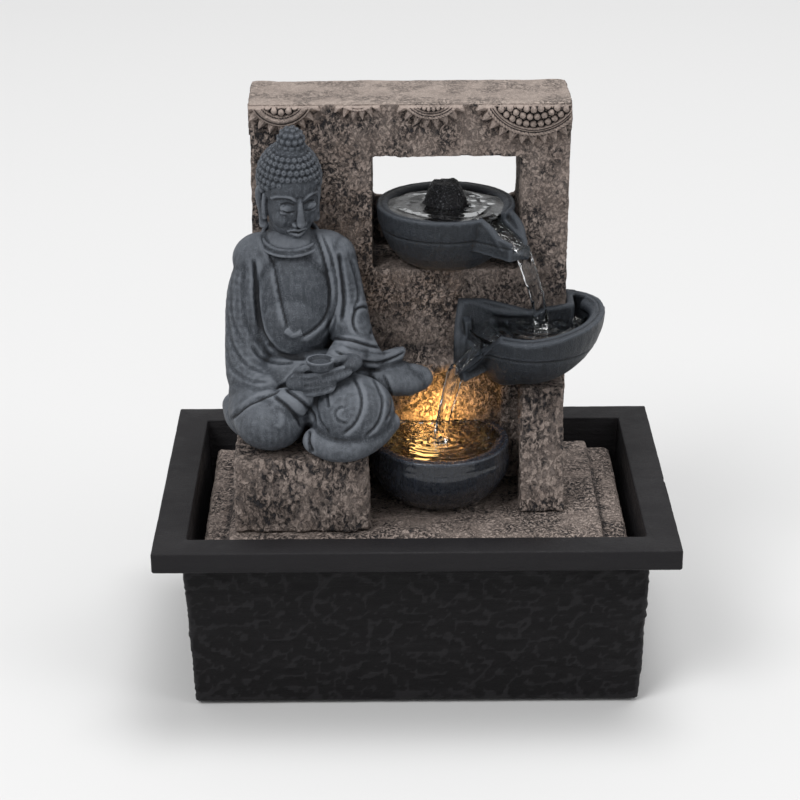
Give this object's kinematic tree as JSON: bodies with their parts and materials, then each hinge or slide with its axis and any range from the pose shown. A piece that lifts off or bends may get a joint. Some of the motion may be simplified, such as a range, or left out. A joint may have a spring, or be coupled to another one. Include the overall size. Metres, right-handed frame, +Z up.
{
  "type": "tabletop water fountain",
  "caption": "Tabletop fountain: black tub with a lift-out stone-look sculpture of a seated figure and stepped bowls, fed by a pump, with a warm lamp.",
  "frame": {"origin": "centre of the footprint, on the surface that the feet stand on", "axes": "+Z up, -Y towards the front where the figure faces, +X to the viewer's right"},
  "size_m": [0.21, 0.1454, 0.2356],
  "materials": {
    "black_slate": "slate-textured matte black",
    "brown_stone": "rough cast stone, washed dark in the recesses",
    "grey_resin": "smooth cast stone, dry-brushed grey",
    "lava_stone": "wet speckled black",
    "black_plastic": "satin moulded black",
    "clear_hose": "clear soft vinyl",
    "rubber": "matte black rubber",
    "foam": "open-cell dark foam",
    "magnet": "ground ferrite",
    "steel": "polished stainless",
    "lens": "warm lit lens"
  },
  "bodies": {
    "tub": {"basin": "black_slate", "basin_foot_1": "foam", "basin_foot_2": "foam", "basin_foot_3": "foam", "basin_foot_4": "foam", "pump_housing": "black_plastic", "volute_cover": "black_plastic", "shaft": "steel", "rear_bush": "rubber", "front_bush": "rubber", "cable_gland": "rubber", "suction_cup_1": "rubber", "suction_cup_2": "rubber", "suction_cup_3": "rubber", "suction_cup_4": "rubber"},
    "rotor": {"rotor_magnet": "magnet", "impeller": "black_plastic"},
    "cover": {"pump_cover": "black_plastic", "intake_sponge": "foam"},
    "dial": {"flow_dial": "black_plastic"},
    "sculpture": {"base_shell": "brown_stone", "figure_pedestal": "brown_stone", "back_wall": "brown_stone", "lintel": "brown_stone", "rosette_far_left": "brown_stone", "rosette_mid_left": "brown_stone", "rosette_mid_right": "brown_stone", "rosette_far_right": "brown_stone", "buttress": "brown_stone", "seated_figure": "grey_resin", "upper_bowl": "grey_resin", "middle_bowl": "grey_resin", "lower_bowl": "grey_resin", "delivery_hose": "clear_hose", "hose_grommet": "rubber", "lamp_housing": "black_plastic", "lamp_lens": "lens", "lamp_seal": "rubber", "lamp_lead": "rubber", "lamp_connector": "black_plastic", "connector_clip": "black_plastic"},
    "stone": {"bubble_stone": "lava_stone"}
  },
  "joints": [
    {"name": "sculpture_lift", "type": "slide", "parent": "tub", "child": "sculpture", "axis": [0, 0, 1], "range_m": [0, 0.085]},
    {"name": "stone_lift", "type": "slide", "parent": "sculpture", "child": "stone", "axis": [0, 0, 1], "range_m": [0, 0.01]},
    {"name": "rotor_spin", "type": "hinge", "parent": "tub", "child": "rotor", "pos_m": [0, 0.0175, 0.0233], "axis": [1, 0, 0], "continuous": true},
    {"name": "cover_pull", "type": "slide", "parent": "tub", "child": "cover", "axis": [1, 0, 0], "range_m": [0, 0.012]},
    {"name": "dial_turn", "type": "hinge", "parent": "cover", "child": "dial", "pos_m": [0.0292, 0.0175, 0.0233], "axis": [1, 0, 0], "range_deg": [0, 80]}
  ]
}
